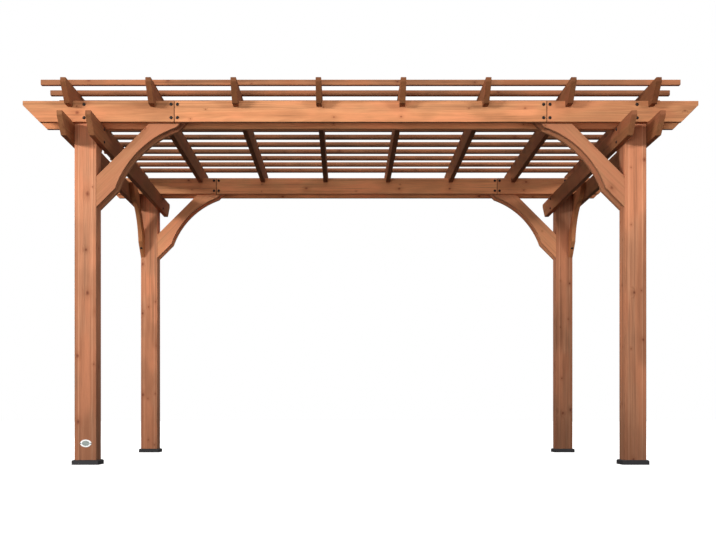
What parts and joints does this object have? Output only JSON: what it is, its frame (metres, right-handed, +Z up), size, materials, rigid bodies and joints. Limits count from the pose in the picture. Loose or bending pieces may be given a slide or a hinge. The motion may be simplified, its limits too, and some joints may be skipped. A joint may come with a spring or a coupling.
{
  "type": "timber garden pergola",
  "caption": "Free-standing timber pergola: square posts in black shoes, paired side rails and beams, arched corner braces, notched rafters and a roof of thin slats, open on all sides.",
  "frame": {"origin": "centre of the footprint on the ground, at the underside of the post shoes", "axes": "+X along the front and rear beams, to the right seen from the front; +Y from front to rear; +Z up"},
  "size_m": [4.3, 3.048, 2.445],
  "materials": {
    "cedar_post": "stained, satin",
    "cedar_board": "stained, satin",
    "cedar_brace": "stained, satin",
    "cedar_rafter": "stained, satin",
    "cedar_slat": "stained, satin",
    "black_plastic": "moulded, fine texture",
    "bolt_black": "black coated",
    "badge_plate": "blank, satin"
  },
  "bodies": {
    "root": {"foot_front_left": "black_plastic", "foot_front_right": "black_plastic", "foot_rear_left": "black_plastic", "foot_rear_right": "black_plastic", "post_front_left": "cedar_post", "post_front_right": "cedar_post", "post_rear_left": "cedar_post", "post_rear_right": "cedar_post", "left_rail_outer": "cedar_board", "left_rail_inner": "cedar_board", "right_rail_outer": "cedar_board", "right_rail_inner": "cedar_board", "front_beam_outer": "cedar_board", "front_beam_inner": "cedar_board", "rear_beam_outer": "cedar_board", "rear_beam_inner": "cedar_board", "beam_brace_front_left": "cedar_brace", "beam_brace_front_right": "cedar_brace", "beam_brace_rear_left": "cedar_brace", "beam_brace_rear_right": "cedar_brace", "rail_brace_front_left": "cedar_brace", "rail_brace_front_right": "cedar_brace", "rail_brace_rear_left": "cedar_brace", "rail_brace_rear_right": "cedar_brace", "rafter_1": "cedar_rafter", "rafter_2": "cedar_rafter", "rafter_3": "cedar_rafter", "rafter_4": "cedar_rafter", "rafter_5": "cedar_rafter", "rafter_6": "cedar_rafter", "rafter_7": "cedar_rafter", "rafter_8": "cedar_rafter", "slat_1": "cedar_slat", "slat_2": "cedar_slat", "slat_3": "cedar_slat", "slat_4": "cedar_slat", "slat_5": "cedar_slat", "slat_6": "cedar_slat", "slat_7": "cedar_slat", "slat_8": "cedar_slat", "slat_9": "cedar_slat", "slat_10": "cedar_slat", "slat_11": "cedar_slat", "slat_12": "cedar_slat"}
  },
  "joints": []
}
